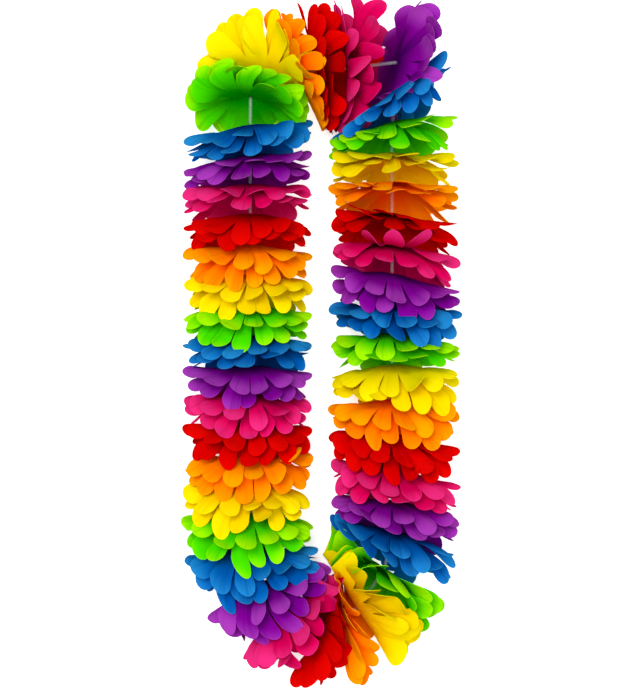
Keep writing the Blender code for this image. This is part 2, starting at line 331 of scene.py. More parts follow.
@dataclass
class Effects:
    """The shader groups that the finishes share. A run gives where along a petal a colour comes in and
    where it is full, and the rim where, in metres from the cut edge, it starts and is full."""

    threads: float = 300.0
    creases_around: float = 9.0
    creases_along: float = 1.3
    valley_run: tuple[float, float] = (0.50, 0.28)
    # How far each petal's random tone and its layer's painted shade shift the colour along the petal.
    tone_and_shade_shift: float = 0.12
    middle_run: tuple[float, float] = (0.15, 0.80)
    tip_run: tuple[float, float] = (0.70, 1.06)
    # How far the crease valleys are darkened towards the heart colour: painted shade.
    valley_shade: float = 0.35
    rim: tuple[float, float] = (0.0009, 0.0002)
    rim_run: tuple[float, float] = (0.55, 1.3)

    def __post_init__(self) -> None:
        """Builds each group once."""
        self.weave = self.weave_group()
        self.creases = self.crease_group()
        self.dyeing = self.dye_and_painted_light_group()

    def weave_group(self) -> NodeTree:
        """Builds the fine satin weave of the cloth.

        Returns:
            A group that puts out the height of the threads.
        """
        inputs = {"Vector": "Vector", "Threads": self.threads}
        tree = group_with("satin weave", "Shader", inputs, {"Height": "Float"})
        wiring = Wiring(tree)
        given = wiring.node("NodeGroupInput").outputs
        turns = wiring.math("MULTIPLY", given["Threads"], 2 * math.pi)
        apart = wiring.node("ShaderNodeSeparateXYZ", {0: given["Vector"]})
        warp = wiring.math("SINE", wiring.math("MULTIPLY", apart.outputs[0], turns))
        weft = wiring.math("SINE", wiring.math("MULTIPLY", apart.outputs[1], turns))
        height = wiring.math("MULTIPLY_ADD", wiring.math("MAXIMUM", warp, weft), 0.5, 0.5)
        wiring.node("NodeGroupOutput", {"Height": height})
        return tree

    def crease_group(self) -> NodeTree:
        """Builds the fine creases that run from the heart of a bloom to its tips.

        Returns:
            A group that puts out the creases as a height, and their valleys as a mask for painted shade.
        """
        tree = group_with(
            "radial creases",
            "Shader",
            {"Vector": "Vector", "Around": self.creases_around, "Along": self.creases_along, "Seed": 0.0},
            {"Height": "Float", "Valleys": "Float"},
        )
        wiring = Wiring(tree)
        given = wiring.node("NodeGroupInput").outputs
        centred = wiring.vectors("ADD", {0: given["Vector"], 1: (-0.5, -0.5, 0.0)})
        length = wiring.vectors("LENGTH", {0: centred.outputs[0]})
        heading = wiring.vectors("NORMALIZE", {0: centred.outputs[0]})
        around = wiring.vectors("SCALE", {0: heading.outputs[0], "Scale": given["Around"]})
        apart = wiring.node("ShaderNodeSeparateXYZ", {0: around.outputs[0]})
        outwards = wiring.math("MULTIPLY", length.outputs["Value"], given["Along"])
        place = wiring.node("ShaderNodeCombineXYZ", {0: apart.outputs[0], 1: apart.outputs[1], 2: outwards})
        noise = wiring.node(
            "ShaderNodeTexNoise",
            {"Vector": place.outputs[0], "W": given["Seed"], "Scale": 1.0, "Detail": 3.0, "Roughness": 0.6},
            noise_dimensions="4D",
        )
        height = noise.outputs["Fac"]
        valleys = wiring.span(height, *self.valley_run)
        wiring.node("NodeGroupOutput", {"Height": height, "Valleys": valleys})
        return tree

    def dye_and_painted_light_group(self) -> NodeTree:
        """Builds the run of colour over a petal, partly dye and partly painted light: deep at the heart with
        painted shade, pale at the tip with painted highlight, darker in the crease valleys with painted
        shade, and pale at the cut edge.

        Returns:
            A group that puts out the cloth's colour, painted shade and highlight included.
        """
        tree = group_with(
            "petal dyeing",
            "Shader",
            {
                "Heart": (0.0, 0.0, 0.0, 1.0),
                "Middle": (0.5, 0.5, 0.5, 1.0),
                "Tip": (1.0, 1.0, 1.0, 1.0),
                "Along": 0.0,
                "Tone And Shade": 0.0,
                "Edge": 1.0,
                "Valleys": 0.0,
            },
            {"Colour": "Color"},
        )
        wiring = Wiring(tree)
        given = wiring.node("NodeGroupInput").outputs
        # The heart colour is partly painted shade and the tip colour partly painted highlight.
        shifted = wiring.math("MULTIPLY_ADD", given["Tone And Shade"], self.tone_and_shade_shift, given["Along"])
        opened = wiring.blend(wiring.span(shifted, *self.middle_run), given["Heart"], given["Middle"])
        tipped = wiring.blend(wiring.span(shifted, *self.tip_run), opened, given["Tip"])
        # Painted shade: the crease valleys are darkened towards the heart colour.
        valleys = wiring.math("MULTIPLY", given["Valleys"], self.valley_shade)
        crease_shaded = wiring.blend(valleys, tipped, given["Heart"])
        edge = wiring.span(given["Edge"], *self.rim)
        rim = wiring.math("MULTIPLY", edge, wiring.span(shifted, *self.rim_run))
        pale = wiring.blend(rim, crease_shaded, given["Tip"])
        wiring.node("NodeGroupOutput", {"Colour": pale})
        return tree


class Wardrobe:
    """Makes the materials: one for each dye, and one for the straws and the string."""

    def __init__(self, effects: Effects) -> None:
        """Starts with the shader groups that the materials share.

        Args:
            effects: The shared groups.
        """
        self.effects = effects

    @staticmethod
    def plain(name: str) -> tuple[Material, Wiring, Node]:
        """Makes a material with one Principled shader.

        Args:
            name: The material's name.

        Returns:
            The material, its wiring, and the shader.
        """
        material = bpy.data.materials.new(name)
        material.use_nodes = True
        return material, Wiring(material.node_tree), material.node_tree.nodes["Principled BSDF"]

    def cloth(self, finish: ClothFinish) -> Material:
        """Colours a satin cloth: its dye, with painted shade at the heart and in the crease valleys and
        painted highlight at the tips.

        Args:
            finish: The cloth's colours and gloss.

        Returns:
            The material.
        """
        material, wiring, shader = self.plain(finish.slot.replace("petal", "satin"))
        sheet = wiring.node("ShaderNodeUVMap", uv_map="sheet").outputs["UV"]
        along, tone_and_shade, edge = (
            wiring.node("ShaderNodeAttribute", attribute_name=name).outputs["Fac"]
            for name in ("along", "tone_and_shade", "edge")
        )
        shared = self.effects
        creases = wiring.node("ShaderNodeGroup", {"Vector": sheet, "Seed": tone_and_shade}, node_tree=shared.creases)
        weave = wiring.node("ShaderNodeGroup", {"Vector": sheet}, node_tree=shared.weave)
        # The heart colour brings painted shade and the tip colour painted highlight into the cloth's colour.
        colours = {
            "Heart": linear(finish.heart),
            "Middle": linear(finish.middle),
            "Tip": linear(finish.tip),
            "Along": along,
            "Tone And Shade": tone_and_shade,
            "Edge": edge,
            "Valleys": creases.outputs["Valleys"],
        }
        dyeing = wiring.node("ShaderNodeGroup", colours, node_tree=shared.dyeing)
        wiring.feed(shader.inputs["Base Color"], dyeing.outputs["Colour"])
        heights = (weave.outputs["Height"], finish.weave_share, creases.outputs["Height"])
        relief = wiring.math("MULTIPLY_ADD", *heights)
        bumpy = {"Height": relief, "Strength": finish.relief_strength, "Distance": finish.relief_depth}
        bump = wiring.node("ShaderNodeBump", bumpy)
        wiring.feed(shader.inputs["Normal"], bump.outputs["Normal"])
        shader.inputs["Roughness"].default_value = finish.roughness
        shader.inputs["Specular IOR Level"].default_value = finish.gloss
        material.diffuse_color = linear(finish.middle)
        return material

    def straw(self, finish: StrawFinish) -> Material:
        """Makes the milky, half-clear plastic of the straws.

        Args:
            finish: The plastic's colour and clearness.

        Returns:
            The material.
        """
        material, wiring, shader = self.plain("milky_straw")
        place = wiring.node("ShaderNodeTexCoord").outputs["Object"]
        fine = {"Vector": place, "Scale": finish.clouds_per_metre, "Detail": 2.0}
        cloud = wiring.node("ShaderNodeTexNoise", fine)
        shade = wiring.blend(
            wiring.span(cloud.outputs["Fac"], 0.35, 0.65),
            linear(finish.colour),
            linear(tuple(finish.cloud_shade * c for c in finish.colour)),
        )
        wiring.feed(shader.inputs["Base Color"], shade)
        dull = wiring.math("MULTIPLY_ADD", cloud.outputs["Fac"], finish.cloud_dulling, finish.roughness)
        wiring.feed(shader.inputs["Roughness"], dull)
        shader.inputs["Alpha"].default_value = finish.cover
        material.diffuse_color = linear(finish.colour)
        return material


@dataclass
class StringLoop:
    """The string's route, and which way a bloom faces at each place on it.

    A place is a number of blooms along the string: bloom 1 is at 1, and 42 is also 0. The route is the
    part's own, moved by as much as the part's solids are, but its top is squarer and lower and its foot
    is a little lower. Three tables, read between their numbers of blooms, make it less even: how much a
    bloom leans, how far it has slid along the string, and how far it is moved to the right and up."""

    half_span: float = 0.0502
    side_run: float = 0.2995
    top_rise: float = 0.024
    top_corner: float = 0.66
    bottom_drop: float = 0.066
    part_middle: float = -0.017
    height: float = 0.036
    first_bloom_lead: float = 0.0035
    facing_spread: float = 2.5
    lean_spread: float = 0.75
    inner_share: float = 0.85
    steps: int = 24
    arc_points: int = 400
    lean_deg: dict[int, float] = field(
        default_factory=lambda: {
            1: 14, 2: 12, 3: 7, 6: -2, 8: -2, 11: -6, 12: -4, 13: 2, 14: -3, 15: -6, 16: -11, 17: -15,
            18: -19, 19: -20, 20: -16, 21: -10, 22: -10, 23: -4, 24: -6, 25: -11, 26: -6, 27: 2, 28: 3,
            29: -6, 31: -12, 32: -6, 33: -9, 35: -2, 36: 10, 37: 13, 38: 20, 39: 10, 40: 9, 41: 16, 42: 40,
        }
    )  # fmt: skip

    slid_mm: dict[int, float] = field(
        default_factory=lambda: {
            0: 1, 1: -2, 3: -3.5, 5: -5, 10: -6, 12: -10, 15: -10, 16: -8, 17: -4, 18: 0, 19: 6, 20: -2,
            21: -11, 22: 1, 23: 7, 24: 7, 26: 10.5, 28: 16, 30: 16, 34: 14, 37: 13.5, 38: 10, 39: 13, 40: 8,
            41: 4, 42: 1,
        }
    )  # fmt: skip
    moved_mm: dict[int, tuple[float, float]] = field(
        default_factory=lambda: {0: (0, 0), 36: (0, 0), 37: (3, 4), 38: (21, 12), 39: (4, 0), 40: (0, 0)}
    )

    def __post_init__(self) -> None:
        """Works out the route and the way that the blooms face along it."""
        half_run = self.side_run / 2
        turn = np.linspace(0, math.pi, self.arc_points)
        foot = [-self.half_span * np.cos(turn), -half_run - self.bottom_drop * np.sin(turn)]
        cosine, sine = np.cos(turn), np.sin(turn).clip(0)
        squarer = np.copysign(np.abs(cosine) ** self.top_corner, cosine)
        top = [self.half_span * squarer, half_run + self.top_rise * sine**self.top_corner]
        foot, top = np.stack(foot, axis=1), np.stack(top, axis=1)
        outline = np.concatenate([top[-1:], foot, top])
        lengths = np.concatenate([[0], np.cumsum(np.hypot(*np.diff(outline, axis=0).T))])
        self.pitch = lengths[-1] / BLOOMS
        self.places = np.arange(BLOOMS * self.steps) / self.steps
        slid = MM * np.interp(self.places, list(self.slid_mm), list(self.slid_mm.values()))
        along = ((self.places - 1) * self.pitch - self.first_bloom_lead + slid) % lengths[-1]
        self.x = np.interp(along, lengths, outline[:, 0])
        self.y = np.interp(along, lengths, outline[:, 1])
        across = np.roll(self.x, -1) - np.roll(self.x, 1)
        ahead = np.roll(self.y, -1) - np.roll(self.y, 1)
        square = np.unwrap(np.arctan2(-across, ahead)) - self.one_turn(self.places)
        leans = np.radians([self.lean_deg.get(number or BLOOMS, 0) for number in range(BLOOMS + 1)])
        lean = np.interp(self.places, np.arange(BLOOMS + 1), leans)
        self.swerve = self.smoothed(square, self.facing_spread) + self.smoothed(lean, self.lean_spread)
        self.turning = np.gradient(self.swerve) * self.steps + self.one_turn(1)
        low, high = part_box("string_with_straws")
        middle = (low + high) / 2
        moves = np.array(list(self.moved_mm.values())).T
        aside, along = (MM * np.interp(self.places, list(self.moved_mm), shift) for shift in moves)
        self.x += middle.x + self.smoothed(aside, self.lean_spread)
        self.y += middle.y - self.part_middle + self.smoothed(along, self.lean_spread)

    @staticmethod
    def one_turn(place: float | np.ndarray) -> float | np.ndarray:
        """The angle of an evenly turning loop at a place."""
        return 2 * math.pi * place / BLOOMS

    def smoothed(self, values: np.ndarray, spread: float) -> np.ndarray:
        """Averages a closed run of samples.

        Args:
            values: The samples.
            spread: How many blooms to either side are taken in.

        Returns:
            The averaged samples.
        """
        reach = round(spread * self.steps)
        weights = np.hanning(2 * reach + 3)[1:-1]
        wrapped = np.concatenate([values[-reach:], values, values[:reach]])
        return np.convolve(wrapped, weights / weights.sum(), mode="valid")

    def read(self, samples: np.ndarray, place: float | np.ndarray) -> float | np.ndarray:
        """Reads samples at a place between them."""
        return np.interp(np.mod(place, BLOOMS), self.places, samples, period=BLOOMS)

    def facing(self, place: float | np.ndarray) -> float | np.ndarray:
        """The angle, seen from above, of the side of a bloom that points out of the loop."""
        return self.read(self.swerve, place) + self.one_turn(place)

    def spacing(self, place: float | np.ndarray, outwards: float | np.ndarray) -> float | np.ndarray:
        """How far apart the blooms stand this far out of the loop, as a share of that at the string."""
        return 1 + outwards * self.read(self.turning, place) / self.pitch

    def room(self, place: np.ndarray, inwards: np.ndarray) -> np.ndarray:
        """Says how far a petal may reach before the blooms on either side crowd it out.

        Args:
            place: Where on the string the petals' tips are.
            inwards: True for each petal that points into the loop.

        Returns:
            The reach for each petal.
        """
        turning = self.read(self.turning, place) * np.where(inwards, 1, -1)
        return self.inner_share * self.pitch / np.maximum(turning, TINY)

    def point(self, place: np.ndarray, outwards: np.ndarray, upwards: np.ndarray) -> np.ndarray:
        """Finds points beside the string.

        Args:
            place: Their places along the string.
            outwards: How far out of the loop they are.
            upwards: How far above the string they are.

        Returns:
            One row of x, y and z for each point.
        """
        angle = self.facing(place)
        x = self.read(self.x, place) + outwards * np.cos(angle)
        y = self.read(self.y, place) + outwards * np.sin(angle)
        return np.stack([x, y, self.height + upwards + np.zeros_like(x)], axis=-1)


@dataclass
class FlatBloom:
    """The cloth of a bloom before it is bent: two round layers, each slit into fourteen petals."""

    hole_radius: float = 0.0013
    slit_foot: float = SLIT_FOOT
    shoulder: float = 0.0418
    length: float = PETAL_LENGTH
    half_width: float = HALF_WIDTH
    rows: int = 13
    columns: int = 7
    disc_share: float = 4 / 12
    blade_share: float = 8 / 12
    tip_turn: float = math.radians(75)
    tip_bow: float = 0.035
    widening_power: float = 1.15
    merge_distance: float = 0.00002
    sheet_size: float = 0.11
    chances: tuple[str, ...] = ("tone_and_shade", "tilt", "curl", "twist", "sway", "cup", "size")

    def tree(self) -> NodeTree:
        """Builds the geometry tree that cuts the cloth.

        Returns:
            The tree.
        """
        tree = group_with(
            "flat bloom",
            "Geometry",
            {
                "Petals": PETALS,
                "Rows": self.rows,
                "Columns": self.columns,
                "Hole Radius": self.hole_radius,
                "Slit Foot": self.slit_foot,
                "Shoulder": self.shoulder,
                "Length": self.length,
                "Half Width": self.half_width,
                "Seed": 0,
                "Cloth": "Material",
            },
            {"Geometry": "Geometry"},
        )
        wiring = Wiring(tree)
        given = wiring.node("NodeGroupInput").outputs
        wedge = self.wedge(wiring, given)
        join = wiring.node("GeometryNodeJoinGeometry")
        for layer in Layer:
            wiring.feed(join.inputs[0], self.ring(wiring, given, wedge, layer))
        dressed = wiring.node(
            "GeometryNodeSetMaterial", {"Geometry": join.outputs[0], "Material": given["Cloth"]}
        )
        wiring.node("NodeGroupOutput", {0: dressed.outputs[0]})
        return tree

    def wedge(self, wiring: Wiring, given: bpy.types.bpy_prop_collection) -> NodeSocket:
        """Shapes a grid into one petal and its share of the disc.

        Args:
            wiring: The tree's wiring.
            given: The tree's inputs.

        Returns:
            The wedge's geometry.
        """
        grid = wiring.node(
            "GeometryNodeMeshGrid",
            {"Size X": 2.0, "Size Y": 1.0, "Vertices X": given["Columns"], "Vertices Y": given["Rows"]},
        )
        spot = wiring.node("ShaderNodeSeparateXYZ", {0: wiring.node("GeometryNodeInputPosition").outputs[0]})
        across = spot.outputs["X"]
        run = wiring.math("ADD", spot.outputs["Y"], 0.5)
        disc = wiring.span(run, 0.0, self.disc_share, smooth=False)
        blade = wiring.span(run, self.disc_share, self.blade_share, smooth=False)
        turn = wiring.math("MULTIPLY", wiring.span(run, self.blade_share, 1.0, smooth=False), self.tip_turn)
        bow = wiring.math("SUBTRACT", 1.0, wiring.math("MULTIPLY", across, across))
        bowed = wiring.math("MULTIPLY_ADD", bow, self.tip_bow, 1.0)
        tip_sine = wiring.math("MULTIPLY", wiring.math("SINE", turn), bowed)
        tip_cosine = wiring.math("COSINE", turn)
        disc_run = wiring.math("SUBTRACT", given["Slit Foot"], given["Hole Radius"])
        blade_run = wiring.math("SUBTRACT", given["Shoulder"], given["Slit Foot"])
        tip_run = wiring.math("SUBTRACT", given["Length"], given["Shoulder"])
        distance = wiring.math("MULTIPLY_ADD", disc, disc_run, given["Hole Radius"])
        distance = wiring.math("MULTIPLY_ADD", blade, blade_run, distance)
        distance = wiring.math("MULTIPLY_ADD", tip_sine, tip_run, distance)
        slit_circle = wiring.math("MULTIPLY", given["Slit Foot"], math.pi)
        foot_width = wiring.math("DIVIDE", slit_circle, given["Petals"])
        disc_width = wiring.math("DIVIDE", wiring.math("MULTIPLY", distance, math.pi), given["Petals"])
        widening = wiring.math("SUBTRACT", given["Half Width"], foot_width)
        eased = wiring.math("POWER", blade, self.widening_power)
        base = wiring.math("MULTIPLY_ADD", eased, widening, wiring.math("MINIMUM", disc_width, foot_width))
        width = wiring.math("MULTIPLY", base, tip_cosine)
        angle = wiring.math("DIVIDE", wiring.math("MULTIPLY", across, width), distance)
        place = wiring.node(
            "ShaderNodeCombineXYZ",
            {
                0: wiring.math("MULTIPLY", distance, wiring.math("COSINE", angle)),
                1: wiring.math("MULTIPLY", distance, wiring.math("SINE", angle)),
            },
        )
        sideways = wiring.math("MULTIPLY", across, tip_cosine)
        from_middle = wiring.math(
            "SQRT",
            wiring.math("MULTIPLY_ADD", sideways, sideways, wiring.math("MULTIPLY", tip_sine, tip_sine)),
        )
        cut = wiring.math("MULTIPLY", base, wiring.math("SUBTRACT", 1.0, from_middle))
        before_slit = wiring.math("MAXIMUM", wiring.math("SUBTRACT", given["Slit Foot"], distance), 0.0)
        edge = wiring.math("ADD", wiring.math("MAXIMUM", cut, 0.0), before_slit)
        geometry = grid.outputs["Mesh"]
        run = wiring.math("DIVIDE", distance, given["Length"])
        for name, value in (("along", run), ("edge", edge)):
            geometry = self.store(wiring, geometry, name, value, "POINT")
        return wiring.node(
            "GeometryNodeSetPosition", {"Geometry": geometry, "Position": place.outputs[0]}
        ).outputs[0]

    @staticmethod
    def store(
        wiring: Wiring,
        geometry: NodeSocket,
        name: str,
        value: object,
        domain: str,
        kind: str = "FLOAT",
    ) -> NodeSocket:
        """Stores a value on the geometry under a name.

        Args:
            wiring: The tree's wiring.
            geometry: The geometry.
            name: The attribute's name.
            value: The value, or the socket that gives it.
            domain: What carries it, such as POINT or INSTANCE.
            kind: What is stored, such as FLOAT.

        Returns:
            The geometry with the attribute.
        """
        given = {"Geometry": geometry, "Name": name, "Value": value}
        made = wiring.node("GeometryNodeStoreNamedAttribute", given, data_type=kind, domain=domain)
        return made.outputs[0]

    def ring(
        self,
        wiring: Wiring,
        given: bpy.types.bpy_prop_collection,
        wedge: NodeSocket,
        layer: Layer,
    ) -> NodeSocket:
        """Sets the wedges round the hole as one layer, and gives each petal its chances.

        Args:
            wiring: The tree's wiring.
            given: The tree's inputs.
            wedge: The wedge's geometry.
            layer: The layer.

        Returns:
            The layer's geometry.
        """
        points = wiring.node("GeometryNodePoints", {"Count": given["Petals"]})
        index = wiring.node("GeometryNodeInputIndex").outputs[0]
        step = wiring.math("DIVIDE", 2 * math.pi, given["Petals"])
        turn = wiring.node("ShaderNodeCombineXYZ", {2: wiring.math("MULTIPLY", index, step)})
        petals = wiring.node(
            "GeometryNodeInstanceOnPoints",
            {"Points": points.outputs[0], "Instance": wedge, "Rotation": turn.outputs[0]},
        )
        geometry = self.store(wiring, petals.outputs[0], "petal", index, "INSTANCE")
        geometry = self.store(wiring, geometry, "layer", float(layer.value), "INSTANCE")
        for order, name in enumerate(self.chances):
            seed = wiring.math("MULTIPLY_ADD", given["Seed"], 20.0, float(10 * layer.value + order))
            given_chance = {2: -1.0, 3: 1.0, "Seed": seed}
            chance = wiring.node("FunctionNodeRandomValue", given_chance, data_type="FLOAT")
            geometry = self.store(wiring, geometry, name, chance.outputs[1], "INSTANCE")
        real = wiring.node("GeometryNodeRealizeInstances", {0: geometry})
        merged = wiring.node(
            "GeometryNodeMergeByDistance", {"Geometry": real.outputs[0], "Distance": self.merge_distance}
        )
        flat = wiring.node("GeometryNodeInputPosition").outputs[0]
        shrink = 1 / self.sheet_size
        sheet = wiring.vectors("MULTIPLY_ADD", {0: flat, 1: (shrink, shrink, 0.0), 2: (0.5, 0.5, 0.0)})
        return self.store(wiring, merged.outputs[0], "sheet", sheet.outputs[0], "CORNER", "FLOAT2")


@dataclass(frozen=True)
class Habit:
    """How a bloom hangs.

    How far the tips hang is in mm, for the upper and the lower layer: beside the string, in front of it
    and behind it. They hang towards the next bloom, or with towards -1 the one before. Combing turns the
    front petals aside, and the power is how late a petal bends. Showing is how much the side petals are
    twisted to show their faces to the sky, where it isn't left to how they hang. Wildness scales what each
    petal gets by chance. A straight bloom ignores the bend of the string and of the blooms beside it."""

    towards: int = 1
    beside: tuple[float, float] = (10, 21)
    front: tuple[float, float] = (22, 34)
    behind: tuple[float, float] = (24, 32)
    comb_deg: float = 0.0
    size: float = 1.0
    power: float = 1.4
    showing: float | None = None
    wildness: float = 1.0
    straight: float = 0.0

    def hang(self, angle: np.ndarray, layer: Layer) -> np.ndarray:
        """Says how far the tips of a layer hang, towards the bell's mouth.

        Args:
            angle: Where they are round the string.
            layer: The layer.

        Returns:
            The hang at each angle, in metres.
        """
        beside, in_front, behind = (hangs[layer.value] for hangs in (self.beside, self.front, self.behind))
        front = np.maximum(0, np.sin(angle)) ** ROUND_POWER
        back = np.maximum(0, -np.sin(angle)) ** ROUND_POWER
        tip = beside + (in_front - beside) * front
        return MM * (tip + (behind - tip) * back)


LEFT = Habit()
RIGHT = Habit(towards=-1)
LEFT_LIFTED = Habit(front=(14, 18))
RIGHT_LIFTED = Habit(towards=-1, front=(14, 18))
HABITS: dict[int, Habit] = {
    1: Habit(beside=(2, 14), front=(-27, -14), behind=(26, 34), size=0.95, showing=-1.5, wildness=1.3),
    2: Habit(front=(19, 26)),
    3: Habit(front=(16, 20)),
    4: LEFT_LIFTED,
    5: Habit(front=(22, 26)),
    9: Habit(front=(16, 22)),
    18: Habit(beside=(7, 17), front=(17, 26), behind=(28, 38)),
    19: Habit(beside=(4, 12), front=(23, 31), behind=(20, 30), showing=1.2),
    20: Habit(beside=(3, 10), front=(13, 19), behind=(20, 30), showing=1.3),
    21: Habit(beside=(5, 12), front=(17, 22), behind=(0, 3), showing=1.4),
    22: Habit(towards=-1, beside=(4, 10), front=(-2, 2), behind=(14, 20), showing=-1.4),
    23: Habit(towards=-1, beside=(6, 13), front=(9, 14), behind=(20, 30)),
    24: Habit(towards=-1, beside=(9, 18), front=(13, 20), behind=(28, 38)),
    25: Habit(towards=-1, front=(18, 26)),
    28: Habit(towards=-1, front=(19, 28)),
    29: Habit(towards=-1, front=(15, 24)),
    30: Habit(towards=-1, front=(19, 28)),
    32: Habit(towards=-1, front=(9, 15), behind=(30, 38)),
    33: Habit(towards=-1, front=(8, 11)),
    34: Habit(towards=-1, front=(4, 9), behind=(32, 40)),
    35: Habit(towards=-1, front=(13, 17)),
    36: RIGHT_LIFTED,
    37: RIGHT_LIFTED,
    38: Habit(
        towards=-1,
        beside=(2, 9),
        front=(30, 35),
        behind=(-20, -12),
        size=0.95,
        showing=1.4,
        wildness=1.7,
        straight=1,
    ),
    39: Habit(towards=-1, beside=(-4, 3), front=(1, 12), behind=(14, 22), power=1.6, wildness=1.3),
    40: Habit(towards=-1, beside=(-3, 9), front=(7, 25), behind=(28, 40), power=1.6, wildness=1.3),
    41: Habit(towards=-1, beside=(5, 16), front=(14, 28), behind=(28, 38), power=1.6, wildness=1.3),
    42: Habit(
        towards=-1,
        beside=(6, 14),
        front=(38, 44),
        behind=(16, 22),
        comb_deg=22,
        showing=1.4,
        wildness=1.9,
        straight=1,
    ),
}


def habit_of(number: int) -> Habit:
    """Looks up how a bloom hangs: as its table says, or else as its side of the loop does."""
    number = (number - 1) % BLOOMS + 1
    return HABITS.get(number, LEFT if number < 22 else RIGHT)


@dataclass(frozen=True)
class Bend:
    """How one petal departs from its neighbours: how far its tip is lifted, against the way that the bell
    hangs, how much further it curls up near the tip, and how much it is twisted."""

    lift_mm: float = 0.0
    curl_mm: float = 0.0
    twist_deg: float = 0.0


BENT_PETALS: dict[tuple[int, Layer, int], Bend] = {
    (13, Layer.UPPER, 9): Bend(lift_mm=12, twist_deg=20),
    (32, Layer.UPPER, 6): Bend(lift_mm=6, curl_mm=7),
    (32, Layer.UPPER, 7): Bend(lift_mm=7, curl_mm=7),
    (32, Layer.UPPER, 8): Bend(lift_mm=6, curl_mm=7),
    (36, Layer.UPPER, 5): Bend(lift_mm=8, curl_mm=8),
}


@dataclass
class Bloom:
    """One bloom: it bends the flat cloth into a bell and sets it on the string."""

    loop: StringLoop
    number: int
    layer_offset: float = 0.0009
    steepest: float = 0.95
    tightest: float = 0.35
    reach_rounds: int = 3
    comb: float = math.radians(30)
    wide_spacing_power: float = 0.35
    most_turn: float = 0.45
    shortest: float = 0.955
    inner_trim: float = 0.92
    foot_growth: float = 0.05
    # Painted shade: the lower layer's colour is shifted towards its heart, and the upper layer's towards its
    # tips.
    layer_shade: float = 0.6
    floor_reach: float = 0.0372
    petal_length: float = PETAL_LENGTH
    slit_foot: float = SLIT_FOOT
    half_width: float = HALF_WIDTH
    keeping: float = 0.48
    most_tilt: float = 0.0042
    most_curl: float = 0.0050
    most_twist: float = math.radians(26)
    twist_from_cup: float = 0.35
    most_sway: float = math.radians(4.0)
    curl_shift: float = 0.15
    shingle: float = math.radians(36)
    showing_middle: float = 1.2
    showing_gain: float = 2.2
    showing_least: float = -0.6
    showing_hang: float = 0.004
    hidden_calm: float = 0.6
    overlap: float = 0.0008
    back_filling: float = 0.4
    margin: float = 0.0020
    cupping: float = 0.0016
    cup_least: float = 0.8
    cup_chance: float = 0.5
    cup_fading: float = 0.4
    bulge_middle: float = 0.45
    least_reach: float = 0.3
    hub_reach: float = 0.006
    hub_closeness: float = 0.35
    thickness: float = 0.0003
    floor_gap: float = 0.0004
    upper_gap: float = 0.0005
    odd_gap: float = 0.0002
    floor_softness: float = 0.0015
    sharp_edge: float = math.radians(60)

    def __post_init__(self) -> None:
        """Works out how this bloom hangs from where it is on the string."""
        self.habit = habit_of(self.number)
        self.side = float(self.habit.towards)
        self.combing = self.comb * max(0.0, -math.sin(self.loop.facing(self.number)))
        self.combing += math.radians(self.habit.comb_deg)
        self.turn = random.Random(self.number).uniform(-self.most_turn, self.most_turn) * PETAL_STEP

    def held(self, layer: Layer, angle: np.ndarray, share: np.ndarray, hang: np.ndarray) -> np.ndarray:
        """Keeps a layer on its own side of the bloom next to it.

        Args:
            layer: The layer.
            angle: Each spot's angle round the string.
            share: How far out each spot is, as a share of a petal.
            hang: How far each spot would hang.

        Returns:
            How far each spot hangs.
        """
        sign = 1 if layer is Layer.LOWER else -1
        beside = habit_of(self.number + sign * self.habit.towards)
        alike = beside.towards == self.habit.towards
        opposite = Layer.UPPER if layer is Layer.LOWER else Layer.LOWER
        other = beside.hang(angle, opposite if alike else layer) * (1 if alike else -1)
        own = self.habit.hang(angle, layer)
        between = (own + other + sign * self.loop.pitch) / 2 - sign * self.margin
        most = sign * np.maximum(sign * between, sign * own) * share**self.habit.power
        return sign * np.minimum(sign * hang, sign * most)

    def bent(
        self, layer: Layer, distance: np.ndarray, angle: np.ndarray, more: np.ndarray, slant: np.ndarray
    ) -> tuple[np.ndarray, np.ndarray, np.ndarray]:
        """Bends spots of a layer down into the bell.

        Args:
            layer: The layer.
            distance: Each spot's distance from the string along the cloth.
            angle: Each spot's angle round the string.
            more: How much more than its layer each spot hangs.
            slant: How much lower each spot lies than its petal's middle, as its petal is twisted.

        Returns:
            Each spot's hang, its distance from the string once bent, and its angle once combed.
        """
        share = distance / self.petal_length
        hang = self.habit.hang(angle, layer) * share**self.habit.power + more
        hang = self.side * self.held(layer, angle, share, hang)
        combed = angle - self.combing * np.maximum(0, np.sin(angle)) * share
        reach = distance
        for _ in range(self.reach_rounds):
            spacing = self.loop.spacing(self.number, (1 - self.habit.straight) * reach * np.cos(combed))
            easing = np.maximum(1, spacing) ** -self.wide_spacing_power
            real_hang = np.minimum(np.abs(hang) * spacing * easing, self.steepest * distance)
            reach = np.sqrt(distance**2 - real_hang**2)
        return hang * easing + self.side * slant / np.maximum(spacing, self.tightest), reach, combed

    def lengths(self, layer: Layer, size: np.ndarray) -> np.ndarray:
        """Says how long each petal of a layer is, shorter where the floor or a bend leaves less room.

        Args:
            layer: The layer.
            size: Each petal's chance, from -1 to 1.

        Returns:
            Each petal's length.
        """
        angle = self.petal_angle(layer) + np.arange(PETALS) * PETAL_STEP
        full = np.full(PETALS, self.petal_length)
        growth = 1 + self.foot_growth * max(0.0, -math.sin(self.loop.facing(self.number)))
        hang, reach, combed = self.bent(layer, full, angle, np.zeros(PETALS), np.zeros(PETALS))
        place = self.number + hang / self.loop.pitch
        inwards = np.cos(combed) < 0
        down = self.floor_reach / np.maximum(TINY, -np.sin(combed))
        beside = self.loop.room(place, inwards) / np.maximum(TINY, np.abs(np.cos(combed)))
        share = np.minimum(np.minimum(down, beside) / reach, np.where(inwards, self.inner_trim, 1))
        stretch = 1 - (1 - self.shortest) * (0.5 + 0.5 * size)
        return full * np.minimum(share * growth, 1 + self.foot_growth) * stretch * self.habit.size

    def petal_angle(self, layer: Layer) -> float:
        """Where the first petal of a layer is round the string."""
        return -math.pi / 2 + self.turn + (PETAL_STEP / 2 if layer is Layer.UPPER else 0)

